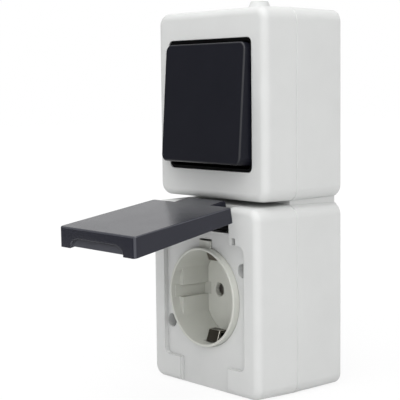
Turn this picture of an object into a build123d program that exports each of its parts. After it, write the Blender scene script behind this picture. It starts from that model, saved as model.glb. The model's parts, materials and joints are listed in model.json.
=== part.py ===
"""Surface-mounted splash-proof combination: a rocker switch above an earthed socket with a hinged lid.

Millimetres. X is to the right, Y runs into the wall, Z is up. The origin is on the wall face, midway
between the two boxes. Depths are measured from the wall towards the room, so a depth d lies at Y = -d.
"""
import os
from math import cos, radians, sin, tan

from build123d import *

# Housing: two boxes above each other, each a back half and a cover that meet at a seam
box_width = 69.0            # at the seam, where the boxes are widest
box_height = 78.6           # of one box, at the seam
box_gap = 1.65              # between the two boxes
base_depth = 26.1           # wall to seam
switch_depth = 43.4         # wall to the front of the switch cover
socket_depth = 48.0         # wall to the front of the socket cover
draft = 1.1                 # degrees, narrowing from the seam both ways
outline_radius = 5.5        # corners of the boxes, seen from the front
front_round = 3.2           # soft edge round the front of the covers
back_round = 0.8            # edge round the wall face
seam_chamfer = 0.35         # on both sides of the seam
wall = 2.0
back_floor = 2.2
front_plate = 2.4
rib_wall = 1.6              # thinner inner walls and skirts

# Gasket between a back half and its cover
ledge_drop = 1.5            # the gasket ledge lies this far behind the seam
ledge_width = 2.0
ledge_thick = 2.0
gasket_thick = 2.0
gasket_play = 0.1

# Neck between the boxes, with the cable passage
neck_inset = 1.5            # from the sides of the boxes
neck_corner = 2.0           # cut off its corners at the wall
neck_bury = 1.5             # how far the neck runs into each box's wall
neck_lip = 3.0              # how far the neck's lip stands in front of the seam
neck_play = 0.1
passage_radius = 6.0
passage_depth = 13.0

# Cable entry in the top wall
entry_depth = 14.7
grommet_radius = 6.3
grommet_waist = 5.4
nipple_foot = 5.1           # radius of the nipple at its foot
nipple_tip = 3.7            # and at its closed end
grommet_rise = 4.4
grommet_flange = 1.2
grommet_play = 0.1

# Screws, all of one thread size
screw_radius = 1.5
screw_play = 0.05
screw_head = 2.7
screw_head_height = 2.0
screw_slot_width = 0.8
screw_slot_depth = 0.9
slot_turn = 30.0            # how the slots happen to stand, degrees
post_radius = 3.4
pilot_floor = 1.5           # material left under a blind pilot hole
shaft_room = 0.25           # round a screw that passes through

# Fixing to the wall
wall_hole_radius = 2.3
wall_hole_x = 25.0
wall_hole_z = 29.0
wall_boss_radius = 4.5
wall_boss_height = 1.5

# Switch: window, bezel and rocker
window_radius = 2.4
bezel_side = 0.5            # width of the bezel's border, left and right
bezel_end = 1.25            # and above and below
bezel_play = 0.15           # bezel in the window
bezel_sink = 0.3            # bezel face below the cover's front
bezel_flange = 3.0          # reach of the bezel behind the cover
bezel_room = 0.5            # between that flange and the cover's walls, at least
well_drop = 2.0             # floor of the well behind the pivot
rocker_side_play = 0.4      # rocker in its well
rocker_end_play = 1.05
rocker_width = 50.7
rocker_height = 49.4
rocker_radius = 2.2
rocker_edge = 0.9
rocker_skirt = 9.2          # from the face to the back edge
rocker_face = 2.0
rocker_tilt = 4.06          # degrees either side of the middle
pivot_sink = 6.4            # pivot behind the cover's front
face_reach = 10.7           # from the pivot to the face
trunnion_radius = 2.0
trunnion_play = 0.06
switch_screw_side = 0.55    # head to the rocker's skirt at the side
switch_screw_end = 0.8      # and at the end
switch_screw_rim = 0.3      # head to the opening in the well's floor
switch_screw_length = 22.0

# Switch mechanism
switch_base_play = 0.1      # to the posts of the cover screws
switch_base_floor = 7.0     # under the contacts
switch_base_sink = 6.0      # front of the base behind the pivot
switch_base_radius = 2.5
lug_length = 8.0
lug_width = 9.0
lug_thick = 3.0
lug_radius = 2.5
switch_lug_reach = 3.5      # screw of a lug beyond the side of the base
pocket_width = 7.0
pocket_height = 23.0
bearing_inner = 9.0         # inner faces of the bearing cheeks, from the middle
bearing_thick = 3.0
bearing_radius = 4.0
cradle_half_height = 11.0
cradle_thick = 4.0
cradle_side_play = 0.4
cradle_post_width = 12.0
cradle_post_height = 7.0
cradle_post_play = 0.1      # to the rocker's ribs on either side
boss_radius = 3.0
boss_reach = 10.0           # from the pivot towards the wall
plunger_radius = 1.5
plunger_play = 0.15
plunger_length = 5.0
plunger_gap = 0.35          # between the plunger's tip and the bridge
spring_wire = 0.22          # radius
spring_turns = 5
spring_sides = 6            # the wire is drawn as a six-sided bar
bridge_width = 5.0
bridge_room = 3.8           # from the bridge's ends to the terminal blocks
bridge_thick = 1.0
bridge_sink = 13.3          # behind the pivot
bridge_rise = 4.7           # in front of the contacts' strips
bridge_rivet = 1.4
bridge_rivet_height = 0.8
contact_gap = 0.3
strip_width = 4.8
strip_thick = 1.2
block_width = 7.4
block_length = 3.6
block_height = 7.4
block_inset = 2.0           # middle of a terminal block inside the edge of the base
terminal_play = 0.2

# Socket cover: seat of the lid, hinge ears, finger scoop, screw pockets
seal_room_side = 2.8        # from the lid's gasket ring to its walls at the sides,
seal_room_low = 2.3         # below
seal_room_high = 0.2        # and above
seat_depth = 2.05
seat_radius = 3.0
seat_plate = 2.2
scoop_width = 31.0
cavity_width = 34.0         # hinge cavity between the ears
ear_wall = 3.0
ear_slot_width = 2.2
ear_slot_height = 2.8
ear_slot_depth = 3.0
ear_slot_x = 19.8
ear_slot_rise = 3.1         # its top above the seat
pocket_radius = 2.9
pocket_drop = 12.0          # its shoulder behind the cover's front
cover_screw_angle = 29.94   # degrees above the horizontal, seen from the middle of the pot
cover_screw_length = 23.0
tube_wall = 1.2
tube_room = 0.15            # between a screw tube and the pot's flange

# Socket pot
rim_radius = 21.0
rim_sink = 0.3              # rim below the cover's front
rim_play = 0.15
rim_round = 0.45
pot_wall = 1.2              # at the rim
pot_depth = 17.1
pot_floor = 2.4             # thickness of the pin plate
pot_lip = 1.2               # ledge that the pin plate lies on
pot_lip_width = 2.0
plate_play = 0.1            # round the pin plate
pot_draft = 1.0             # degrees
pot_flange_width = 1.4
pot_flange = 1.6
flat_reach = 4.0            # flats on the left and right, in from the rim
flat_drop = 3.0             # flats start behind the rim
guide_reach = 6.0           # guide ribs, in from the rim
guide_height = 5.2
guide_drop = 0.8
pin_spacing = 19.0
pin_hole_radius = 2.8
pin_lead_in = 0.4
lead_in_angle = 45.0        # degrees
clip_slot_width = 8.2
clip_slot_front = 3.2       # behind the rim
clip_slot_back = 15.6
tab_width = 7.0
tab_height = 2.7            # above the rim
tab_proud = 0.65
tab_room = 0.8              # open slot above the tab
tab_play = 0.4

# Socket mechanism
socket_base_play = 0.7      # to the posts of the cover screws
socket_base_height = 38.0
socket_base_thick = 15.2
socket_base_room = 3.5      # between the base and the pin plate
socket_base_floor = 3.5     # under the contacts
socket_base_radius = 3.0
socket_lug_reach = 4.0      # screw of a lug beyond the side of the base
strap_width = 7.0
strap_thick = 1.0
strap_outset = 1.3          # upright limbs outside the rim's radius
shoulder_drop = 14.7        # behind the rim, where the clips turn inwards
crest_back_drop = 9.5       # the clip's crest, nearest to the middle, from here
crest_front_drop = 6.5      # to here
crest_inset = 5.8           # inside the rim's radius
clip_tip_drop = 4.9
clip_tip_inset = 1.2
clip_slot_inset = 4.2       # the slots cut the pot's wall from here outwards
leaf_gap = 5.3              # clear width between the leaves of a pin contact
leaf_thick = 0.8
leaf_width = 7.0
leaf_sink = 0.3             # tips of the leaves behind the base's front
feed_block_length = 7.5
feed_screw_sink = 0.7       # heads of the terminal screws behind the base's front
feed_block_z = 13.2         # below the pins
feed_hole_radius = 2.4

# Lid and hinge
hinge_rise = 7.3            # axis above the seat
hinge_sink = 4.0            # axis behind the cover's front
pin_radius = 1.2
pin_play = 0.08
pin_press = 0.01
barrel_radius = 2.4
barrel_room = 0.4
cavity_room = 0.8           # behind the barrel
lid_play = 0.5              # round the lid in its seat
lid_clear = 0.35            # lid edge in front of the seat's floor
lid_rise = 10.6             # outer face in front of the hinge axis
lid_wall = 1.6
lid_end_wall = 3.0
lid_top = 2.0
lid_radius = 2.6
lid_edge = 0.9
lid_draft = 1.0
rim_clear = 0.35            # lid edge and gasket in front of the rim
lid_open = 81.0             # degrees between shut and the stop
arm_width = 20.0
arm_thick = 2.6
arm_heel = 0.8              # top of the arm's web above the hinge axis, when shut
arm_round = 1.2
grip_width = 36.0
grip_crown = 21.0           # straight top of the finger grip
grip_height = 4.0
grip_shoulder = 2.5
grip_sink = 1.3
grip_step = 0.7
tab_clear = 0.4             # lid over the pot's tab
gasket_ring_width = 2.2
gasket_ring_play = 0.1

# Places worked out from the sizes above
slope = tan(radians(draft))
switch_z = (box_height + box_gap) / 2
socket_z = -switch_z
socket_top = -box_gap / 2
socket_bottom = socket_top - box_height
rib_front = base_depth - ledge_drop + gasket_thick
well_width = rocker_width + 2 * rocker_side_play
well_height = rocker_height + 2 * rocker_end_play
window_width = well_width + 2 * (bezel_side + bezel_play)
window_height = well_height + 2 * (bezel_end + bezel_play)
switch_screw_x = rocker_width / 2 - rib_wall - screw_head - switch_screw_side
switch_screw_z = rocker_height / 2 - rib_wall - screw_head - switch_screw_end
well_floor_opening = 2 * (switch_screw_x - screw_head - switch_screw_rim)
pivot_depth = switch_depth - pivot_sink
well_floor = pivot_depth - well_drop
switch_base_side = 2 * (switch_screw_x - post_radius - switch_base_play)
switch_base_front = pivot_depth - switch_base_sink
switch_lug_x = switch_base_side / 2 + switch_lug_reach
bridge_depth = pivot_depth - bridge_sink
pocket_floor = bridge_depth - bridge_rise
switch_base_back = pocket_floor - switch_base_floor
block_z = switch_base_side / 2 - block_inset
bridge_height = 2 * (block_z - block_length / 2 - bridge_room)
bridge_rivet_z = bridge_height / 2 - bridge_rivet
seat_floor = socket_depth - seat_depth
seal_radius = rim_radius + gasket_ring_play
seat_width = 2 * (seal_radius + seal_room_side + lid_wall + lid_play)
seat_bottom = socket_z - (seal_radius + seal_room_low + lid_end_wall + lid_play)
seat_top = socket_z + seal_radius + seal_room_high + lid_wall + lid_play
rim_front = socket_depth - rim_sink
pot_front = rim_front - pot_depth
plate_back = pot_front - pot_floor
pot_inner = rim_radius - pot_wall - pot_depth * tan(radians(pot_draft))
pot_flange_radius = rim_radius + pot_flange_width
flat_half = rim_radius - flat_reach
guide_half = rim_radius - guide_reach
cover_screw_reach = pot_flange_radius + tube_room + tube_wall + pocket_radius
cover_screw_x = cover_screw_reach * cos(radians(cover_screw_angle))
cover_screw_z = cover_screw_reach * sin(radians(cover_screw_angle))
cover_screw_seat = socket_depth - pocket_drop
socket_base_width = 2 * (cover_screw_x - post_radius - socket_base_play)
socket_base_front = plate_back - socket_base_room
socket_base_back = socket_base_front - socket_base_thick
socket_lug_x = socket_base_width / 2 + socket_lug_reach
leaf_back = socket_base_back + socket_base_floor
leaf_front = socket_base_front - leaf_sink
feed_block_front = socket_base_front - feed_screw_sink - screw_head_height
hinge_z = seat_top + hinge_rise
hinge_depth = socket_depth - hinge_sink
cavity_floor = hinge_z - barrel_radius - barrel_room
cavity_back = hinge_depth - barrel_radius - cavity_room
lid_front = hinge_depth + lid_rise
lid_back = seat_floor + lid_clear
lid_bottom = seat_bottom + lid_play
lid_upper = seat_top - lid_play
pivot_axis = Axis((0, -pivot_depth, switch_z), (1, 0, 0))
bridge_axis = Axis((0, -bridge_depth, switch_z), (1, 0, 0))
hinge_axis = Axis((0, -hinge_depth, hinge_z), (1, 0, 0))
room_plane = Plane.XZ       # faces the room, local x is X and local y is Z


def slab(sketch, back, front, taper=0.0):
    """A sketch seen from the front, given thickness between two depths."""
    return extrude(room_plane.offset(back) * sketch, front - back, taper=taper)


def bar(x0, x1, z0, z1, back, front):
    """A straight block between two places on each axis."""
    return slab(Pos((x0 + x1) / 2, (z0 + z1) / 2) * Rectangle(x1 - x0, z1 - z0), back, front)


def post(x, z, radius, back, front):
    """A round post that stands out from the wall."""
    return slab(Pos(x, z) * Circle(radius), back, front)


def across(sketch, half_width):
    """A side-on profile, drawn as (-depth, z), given a width about the middle."""
    return extrude(Plane.YZ * sketch, half_width, both=True)


def side_shaft(depth, z, radius, half_width):
    """A round shaft along X."""
    return across(Pos(-depth, z) * Circle(radius), half_width)


def outline(inset):
    """The outline of a box, drawn in from its size at the seam."""
    return RectangleRounded(box_width - 2 * inset, box_height - 2 * inset, outline_radius - inset)


def screw(x, z, tip, seat, head=screw_head):
    """A slotted screw from its tip's depth to the shoulder under its head."""
    body = post(x, z, screw_radius, tip, seat) + post(x, z, head, seat, seat + screw_head_height)
    top = seat + screw_head_height
    slot = Pos(x, z) * Rot(0, 0, slot_turn) * Rectangle(3 * head, screw_slot_width)
    return body - slab(slot, top - screw_slot_depth, top)


def back_half(centre):
    """One tray of the back box: drafted walls, floor and gasket ledge."""
    wall_inset = base_depth * slope
    tray = slab(Pos(0, centre) * outline(wall_inset), 0, base_depth, -draft)
    tray = fillet(tray.faces().sort_by(Axis.Y)[-1].edges(), back_round)
    tray = chamfer(tray.faces().sort_by(Axis.Y)[0].edges(), seam_chamfer)
    floor_inset = wall + (base_depth - back_floor) * slope
    tray -= slab(Pos(0, centre) * outline(floor_inset), back_floor, base_depth, -draft)
    ledge_front = base_depth - ledge_drop
    ring = outline(wall / 2) - outline(wall + ledge_width)
    return tray + slab(Pos(0, centre) * ring, ledge_front - ledge_thick, ledge_front)


def wall_hole_places():
    """Two fixing holes in each tray, on a diagonal."""
    return [(side * wall_hole_x, centre - side * wall_hole_z)
            for centre in (switch_z, socket_z) for side in (-1, 1)]


def make_back_box():
    box = back_half(switch_z) + back_half(socket_z)
    neck_half = box_width / 2 - neck_inset
    buried = box_gap / 2 + neck_bury
    neck = Polyline((-neck_half, -base_depth), (neck_half, -base_depth), (neck_half, -neck_corner),
                    (neck_half - neck_corner, 0), (neck_corner - neck_half, 0), (-neck_half, -neck_corner),
                    close=True)
    box += extrude(make_face(neck), buried, both=True)
    lip = box_gap / 2 - neck_play
    box += bar(-neck_half, neck_half, -lip, lip, base_depth, base_depth + neck_lip)
    reach = box_gap / 2 + 2 * wall
    passage = Pos(0, -passage_depth, 0) * Cylinder(passage_radius, 2 * reach)
    box -= passage
    posts = []
    for side in (-1, 1):
        posts.append((side * switch_screw_x, switch_z - side * switch_screw_z, well_floor - rib_wall))
        posts.append((side * switch_lug_x, switch_z, switch_base_back))
        posts.append((side * cover_screw_x, socket_z + side * cover_screw_z, base_depth))
        posts.append((side * socket_lug_x, socket_z, socket_base_back))
    for x, z, top in posts:
        box += post(x, z, post_radius, back_floor / 2, top)
    for x, z, top in posts:
        box -= post(x, z, screw_radius + screw_play, pilot_floor, top)
    for x, z in wall_hole_places():
        box += post(x, z, wall_boss_radius, back_floor / 2, back_floor + wall_boss_height)
    for x, z in wall_hole_places():
        box -= post(x, z, wall_hole_radius, 0, back_floor + wall_boss_height)
    entry = Cylinder(grommet_waist + grommet_play, 4 * wall)
    return box - grommet_place() * entry


def grommet_place():
    """Middle of the top wall at the cable entry, square to its drafted face."""
    top = switch_z + box_height / 2 - (base_depth - entry_depth) * slope
    return Pos(0, -entry_depth, top) * Rot(-draft, 0, 0)


def make_cable_grommet():
    inner = -wall - grommet_flange
    roof = grommet_rise - rib_wall
    points = [(0, inner), (grommet_radius, inner), (grommet_radius, -wall), (grommet_waist, -wall),
              (grommet_waist, 0), (grommet_radius, 0), (grommet_radius, grommet_flange),
              (nipple_foot, grommet_flange), (nipple_tip, grommet_rise), (0, grommet_rise)]
    hollow_points = [(0, inner), (grommet_waist - rib_wall, inner), (nipple_tip - rib_wall, roof),
                     (0, roof)]
    body = revolve(Plane.XZ * make_face(Polyline(*points, close=True)), Axis.Z)
    body -= revolve(Plane.XZ * make_face(Polyline(*hollow_points, close=True)), Axis.Z)
    return grommet_place() * body


def cover_block(centre, depth):
    """A cover before it is hollowed: drafted sides and a soft front edge."""
    block = slab(Pos(0, centre) * outline(0), base_depth, depth, draft)
    block = fillet(block.faces().sort_by(Axis.Y)[0].edges(), front_round)
    return chamfer(block.faces().sort_by(Axis.Y)[-1].edges(), seam_chamfer)


def cover_inside(centre, front):
    """The hollow of a cover, narrowed where a rib presses on the gasket."""
    rib_top = rib_front + ledge_thick
    place = Pos(0, centre)
    mouth = slab(place * outline(wall), base_depth, rib_front)
    throat = slab(place * outline(wall + ledge_width), rib_front, rib_top)
    start = wall + (rib_top - base_depth) * slope
    return mouth + throat + slab(place * outline(start), rib_top, front, draft)


def make_switch_cover():
    cover = cover_block(switch_z, switch_depth)
    cover -= cover_inside(switch_z, switch_depth - front_plate)
    window = Pos(0, switch_z) * RectangleRounded(window_width, window_height, window_radius)
    return cover - slab(window, switch_depth - front_plate, switch_depth)


def make_gasket(centre):
    ring = outline(wall + gasket_play) - outline(wall + ledge_width)
    return slab(Pos(0, centre) * ring, base_depth - ledge_drop, rib_front)


def make_switch_frame():
    plate_back = switch_depth - front_plate
    opening = RectangleRounded(well_width, well_height, window_radius)
    inset = wall + (plate_back - base_depth) * slope + bezel_room
    flange_width = min(window_width + 2 * bezel_flange, box_width - 2 * inset)
    flange_height = min(window_height + 2 * bezel_flange, box_height - 2 * inset)
    flange = RectangleRounded(flange_width, flange_height, window_radius)
    bezel_width = window_width - 2 * bezel_play
    bezel_height = window_height - 2 * bezel_play
    bezel = RectangleRounded(bezel_width, bezel_height, window_radius - bezel_play)
    well = RectangleRounded(well_width + 2 * rib_wall, well_height + 2 * rib_wall, window_radius + rib_wall)
    place = Pos(0, switch_z)
    frame = slab(place * (flange - opening), plate_back - rib_wall, plate_back)
    frame += slab(place * (bezel - opening), plate_back, switch_depth - bezel_sink)
    frame += slab(place * (well - opening), well_floor - rib_wall, plate_back - rib_wall)
    floor = well - RectangleRounded(well_floor_opening, well_floor_opening, window_radius)
    frame += slab(place * floor, well_floor - rib_wall, well_floor)
    for side in (-1, 1):
        frame -= post(side * switch_screw_x, switch_z - side * switch_screw_z, screw_radius + shaft_room,
                      well_floor - rib_wall, well_floor)
    return frame


def make_rocker():
    face = pivot_depth + face_reach
    shape = RectangleRounded(rocker_width, rocker_height, rocker_radius)
    block = slab(Pos(0, switch_z) * shape, face - rocker_skirt, face)
    block = fillet(block.faces().sort_by(Axis.Y)[0].edges(), rocker_edge)
    inner_width = rocker_width - 2 * rib_wall
    inner_height = rocker_height - 2 * rib_wall
    inner = RectangleRounded(inner_width, inner_height, rocker_radius - rib_wall)
    block -= slab(Pos(0, switch_z) * inner, face - rocker_skirt, face - rocker_face)
    rib_half = rocker_height / 2 - rib_wall / 2
    for side in (-1, 1):
        rib_x = side * (cradle_post_width / 2 + rib_wall / 2)
        rib_back = face - rocker_face - rib_wall
        block += bar(rib_x - rib_wall / 2, rib_x + rib_wall / 2, switch_z - rib_half, switch_z + rib_half,
                     rib_back, face - rocker_face / 2)
    return block.rotate(pivot_axis, -rocker_tilt)


def make_rocker_cradle():
    half_width = bearing_inner - cradle_side_play
    front = pivot_depth + cradle_thick / 2
    plate = bar(-half_width, half_width, switch_z - cradle_half_height, switch_z + cradle_half_height,
                pivot_depth - cradle_thick / 2, front)
    plate = fillet(plate.edges().filter_by(Axis.Y), trunnion_radius)
    post_half = cradle_post_width / 2 - cradle_post_play
    head = bar(-post_half, post_half, switch_z - cradle_post_height / 2, switch_z + cradle_post_height / 2,
               front, pivot_depth + face_reach - rocker_face)
    boss_back = pivot_depth - boss_reach
    cradle = plate + head + post(0, switch_z, boss_radius, boss_back, pivot_depth)
    cradle += side_shaft(pivot_depth, switch_z, trunnion_radius, bearing_inner + bearing_thick)
    cradle -= post(0, switch_z, plunger_radius + plunger_play, boss_back, pivot_depth)
    return cradle.rotate(pivot_axis, -rocker_tilt)


def plunger_tip():
    """Depth of the plunger's tip with the rocker level."""
    return bridge_depth + bridge_thick + plunger_gap


def make_plunger():
    tip = plunger_tip()
    pin = post(0, switch_z, plunger_radius, tip + plunger_radius, tip + plunger_length)
    pin += Pos(0, -(tip + plunger_radius), switch_z) * Sphere(plunger_radius)
    return pin.rotate(pivot_axis, -rocker_tilt)


def make_plunger_spring():
    seat = plunger_tip() + plunger_length
    length = pivot_depth - seat
    coil_radius = plunger_radius - spring_wire
    coil_height = length - 2 * spring_wire
    path = Helix(pitch=coil_height / spring_turns, height=coil_height, radius=coil_radius)
    section = Plane(origin=path @ 0, z_dir=path % 0) * RegularPolygon(spring_wire, spring_sides)
    coil = sweep(section, path=path, is_frenet=True)
    coil = Pos(0, -(seat + spring_wire), switch_z) * Rot(90, 0, 0) * coil
    return coil.rotate(pivot_axis, -rocker_tilt)


def make_contact_bridge():
    half = bridge_height / 2
    strip = bar(-bridge_width / 2, bridge_width / 2, switch_z - half, switch_z + half,
                bridge_depth, bridge_depth + bridge_thick)
    strip = fillet(strip.edges().filter_by(Axis.Y), bridge_rivet)
    for side in (-1, 1):
        strip += post(0, switch_z + side * bridge_rivet_z, bridge_rivet,
                      bridge_depth - bridge_rivet_height, bridge_depth)
    return strip.rotate(bridge_axis, rocker_tilt)


def throw_contact_front():
    """Face of a fixed contact, just short of the tipped bridge."""
    reach = (bridge_rivet_z + bridge_rivet) * sin(radians(rocker_tilt))
    return bridge_depth - bridge_rivet_height - reach - contact_gap


def terminal_block(front):
    """A terminal block at the end of a strip, drawn above the middle."""
    block = bar(-block_width / 2, block_width / 2, block_z - block_length / 2, block_z + block_length / 2,
                pocket_floor, front)
    return block - post(0, block_z, screw_radius + screw_play, pocket_floor + strip_thick, front)


def make_throw_contact(side):
    """The upper or lower fixed contact, with its terminal block."""
    strip = bar(-strip_width / 2, strip_width / 2, bridge_rivet_z - bridge_rivet, block_z,
                pocket_floor, pocket_floor + strip_thick)
    contact = strip + terminal_block(pocket_floor + block_height)
    contact += post(0, bridge_rivet_z, bridge_rivet, pocket_floor + strip_thick, throw_contact_front())
    return Pos(0, 0, switch_z) * Rot(0, 0 if side > 0 else 180, 0) * contact


def make_common_contact():
    """The middle contact, whose knife edge carries the bridge."""
    strip = bar(-strip_width / 2, strip_width / 2, -strip_width / 2, block_z,
                pocket_floor, pocket_floor + strip_thick)
    contact = strip + terminal_block(pocket_floor + block_height)
    edge = bridge_depth - contact_gap
    shoulder = edge - strip_thick
    half = strip_thick
    profile = Polyline((-pocket_floor, -half), (-shoulder, -half), (-edge, 0), (-shoulder, half),
                       (-pocket_floor, half), close=True)
    contact = Rot(0, -90, 0) * contact + across(make_face(profile), strip_width / 2)
    return Pos(0, 0, switch_z) * contact


def lugs(x, back):
    """A flat bar whose two ends stand out as screw lugs."""
    return slab(RectangleRounded(2 * x + lug_length, lug_width, lug_radius), back, back + lug_thick)


def make_switch_base():
    half = switch_base_side / 2
    base = slab(RectangleRounded(switch_base_side, switch_base_side, switch_base_radius),
                switch_base_back, switch_base_front)
    base += lugs(switch_lug_x, switch_base_back)
    cheek_height = pivot_depth - switch_base_front
    cheek = Pos(-pivot_depth, 0) * Circle(bearing_radius)
    cheek += Pos(-pivot_depth + cheek_height / 2, 0) * Rectangle(cheek_height, 2 * bearing_radius)
    cheek -= Pos(-pivot_depth, 0) * Circle(trunnion_radius + trunnion_play)
    lug_front = switch_base_back + lug_thick
    for side in (-1, 1):
        base -= post(side * switch_lug_x, 0, screw_radius + shaft_room, switch_base_back, lug_front)
        base += Pos(side * (bearing_inner + bearing_thick / 2), 0, 0) * across(cheek, bearing_thick / 2)
    base -= slab(Rectangle(pocket_width, pocket_height), pocket_floor, switch_base_front)
    chamber = bar(-block_width / 2 - terminal_play, block_width / 2 + terminal_play,
                  block_z - block_length / 2 - terminal_play, half, pocket_floor, switch_base_front)
    channel = bar(-strip_width / 2 - terminal_play, strip_width / 2 + terminal_play, 0, half,
                  pocket_floor, pocket_floor + strip_thick + terminal_play)
    for turn in (0, 180, -90):
        base -= Rot(0, turn, 0) * (chamber + channel)
    return Pos(0, 0, switch_z) * base


def make_switch_terminal_screws():
    seat = pocket_floor + block_height
    tip = pocket_floor + 2 * strip_thick
    places = [(0, switch_z + block_z), (0, switch_z - block_z), (-block_z, switch_z)]
    return [screw(x, z, tip, seat, head=block_length / 2) for x, z in places]


def make_switch_base_screws():
    seat = switch_base_back + lug_thick
    tip = pilot_floor + 2 * screw_play
    return [screw(side * switch_lug_x, switch_z, tip, seat) for side in (-1, 1)]


def make_switch_cover_screws():
    tip = well_floor - switch_screw_length
    return [screw(side * switch_screw_x, switch_z - side * switch_screw_z, tip, well_floor)
            for side in (-1, 1)]


def make_socket_cover():
    cover = cover_block(socket_z, socket_depth)
    plate_back = seat_floor - seat_plate
    cover -= cover_inside(socket_z, plate_back)
    ear_outer = cavity_width / 2 + ear_wall
    roof = socket_top - wall / 2 - (socket_depth - base_depth) * slope
    buried = plate_back + seat_plate / 2
    cover += bar(-ear_outer, ear_outer, cavity_floor - rib_wall, roof, cavity_back - rib_wall, buried)
    seat = RectangleRounded(seat_width, seat_top - seat_bottom, seat_radius)
    cover -= slab(Pos(0, (seat_top + seat_bottom) / 2) * seat, seat_floor, socket_depth)
    half = cavity_width / 2
    cover -= bar(-half, half, seat_top - seat_radius, socket_top, seat_floor, socket_depth)
    cover -= bar(-half, half, cavity_floor, socket_top, cavity_back, socket_depth)
    scoop_half = scoop_width / 2
    cover -= bar(-scoop_half, scoop_half, socket_bottom, seat_bottom + seat_radius, seat_floor, socket_depth)
    cover -= side_shaft(hinge_depth, hinge_z, pin_radius + pin_press, ear_outer)
    for side in (-1, 1):
        x = side * cover_screw_x
        z = socket_z + side * cover_screw_z
        cover += post(x, z, pocket_radius + tube_wall, base_depth, buried)
        cover -= post(x, z, pocket_radius, cover_screw_seat, socket_depth)
        cover -= post(x, z, screw_radius + shaft_room, base_depth, cover_screw_seat)
        slot_top = seat_top + ear_slot_rise
        cover -= bar(side * ear_slot_x - ear_slot_width / 2, side * ear_slot_x + ear_slot_width / 2,
                     slot_top - ear_slot_height, slot_top, socket_depth - ear_slot_depth, socket_depth)
    cover -= post(0, socket_z, rim_radius + rim_play, plate_back, seat_floor)
    tab_half = tab_width / 2 + tab_play
    tab_foot = socket_z + rim_radius - pot_wall
    tab_top = socket_z + rim_radius + tab_height + tab_room
    return cover - bar(-tab_half, tab_half, tab_foot, tab_top, plate_back, seat_floor)


def make_socket_pot():
    pot_back = plate_back - pot_lip
    flange_front = seat_floor - seat_plate
    flange_back = flange_front - pot_flange
    lean = tan(radians(pot_draft))
    outer_back = rim_radius - (flange_back - pot_back) * lean
    lip = pot_inner - pot_lip_width
    points = [(lip, pot_back), (outer_back, pot_back), (rim_radius, flange_back),
              (pot_flange_radius, flange_back), (pot_flange_radius, flange_front),
              (rim_radius, flange_front), (rim_radius, rim_front), (rim_radius - pot_wall, rim_front),
              (pot_inner, pot_front), (pot_inner, plate_back), (lip, plate_back)]
    section = make_face(Polyline(*[(radius, -depth) for radius, depth in points], close=True))
    pot = revolve(section, Axis.Y)
    pot = fillet(pot.edges().group_by(Axis.Y)[0], rim_round)
    in_wall = rim_radius - pot_wall / 2 - pot_depth * lean / 2
    flats = Circle(in_wall) - Rectangle(2 * flat_half, 2 * rim_radius)
    pot += slab(flats, plate_back, rim_front - flat_drop)
    for side in (-1, 1):
        inner, outer = sorted((side * guide_half, side * in_wall))
        pot += bar(inner, outer, -guide_height / 2, guide_height / 2, plate_back, rim_front - guide_drop)
        low, high = sorted((side * (rim_radius - clip_slot_inset), side * (pot_flange_radius + pot_wall)))
        pot -= bar(-clip_slot_width / 2, clip_slot_width / 2, low, high,
                   rim_front - clip_slot_back, rim_front - clip_slot_front)
    pot += bar(-tab_width / 2, tab_width / 2, rim_radius - pot_wall / 2, rim_radius + tab_height,
               rim_front - clip_slot_front, seat_floor + tab_proud)
    return Pos(0, 0, socket_z) * pot


def make_pin_plate():
    """The pot's floor, which drops in past the flats and guide ribs and lies on the lip."""
    shape = Circle(pot_inner - plate_play) & Rectangle(2 * (flat_half - plate_play), 2 * rim_radius)
    notch_reach = rim_radius - guide_half + plate_play
    notch = Rectangle(2 * notch_reach, guide_height + 2 * plate_play)
    for side in (-1, 1):
        shape -= Pos(side * rim_radius, 0) * notch
    plate = slab(shape, plate_back, pot_front)
    for side in (-1, 1):
        hole = Pos(side * pin_spacing / 2, 0) * Circle(pin_hole_radius)
        plate -= slab(hole, plate_back, pot_front)
        plate -= slab(hole, pot_front - pin_lead_in, pot_front, -lead_in_angle)
    return Pos(0, 0, socket_z) * plate


def make_earth_strap():
    flat = socket_base_front + strap_thick / 2
    upright = rim_radius + strap_outset
    crest = rim_radius - crest_inset
    limb = [(flat, upright), (rim_front - shoulder_drop, upright), (rim_front - crest_back_drop, crest),
            (rim_front - crest_front_drop, crest), (rim_front - clip_tip_drop, rim_radius - clip_tip_inset)]
    path = [(-depth, -reach) for depth, reach in reversed(limb)]
    path += [(-depth, reach) for depth, reach in limb]
    strap = across(trace(Polyline(*path), strap_thick), strap_width / 2)
    strap -= post(0, 0, screw_radius + shaft_room, socket_base_front, socket_base_front + strap_thick)
    return Pos(0, 0, socket_z) * strap


def contact_width():
    """Outside width of a pin contact."""
    return leaf_gap + 2 * leaf_thick


def make_pin_contact(side):
    """Two spring leaves for a plug pin, on a web that ends in a terminal block."""
    half = contact_width() / 2
    web_front = leaf_back + leaf_thick
    contact = bar(-half, half, -feed_block_z, leaf_width / 2, leaf_back, web_front)
    for leaf in (-1, 1):
        inner, outer = sorted((leaf * leaf_gap / 2, leaf * half))
        contact += bar(inner, outer, -leaf_width / 2, leaf_width / 2, leaf_back, leaf_front)
    block_half = feed_block_length / 2
    contact += bar(-half, half, -feed_block_z - block_half, -feed_block_z + block_half,
                   leaf_back, feed_block_front)
    contact -= post(0, -feed_block_z, screw_radius + screw_play, web_front, feed_block_front)
    wire_way = Cylinder(feed_hole_radius - leaf_thick, 2 * feed_block_length)
    contact -= Pos(0, -feed_depth(), -feed_block_z) * wire_way
    return Pos(side * pin_spacing / 2, 0, socket_z) * contact


def feed_depth():
    """Depth of the wire ways into the socket's terminal blocks."""
    return (leaf_back + feed_block_front) / 2


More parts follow.
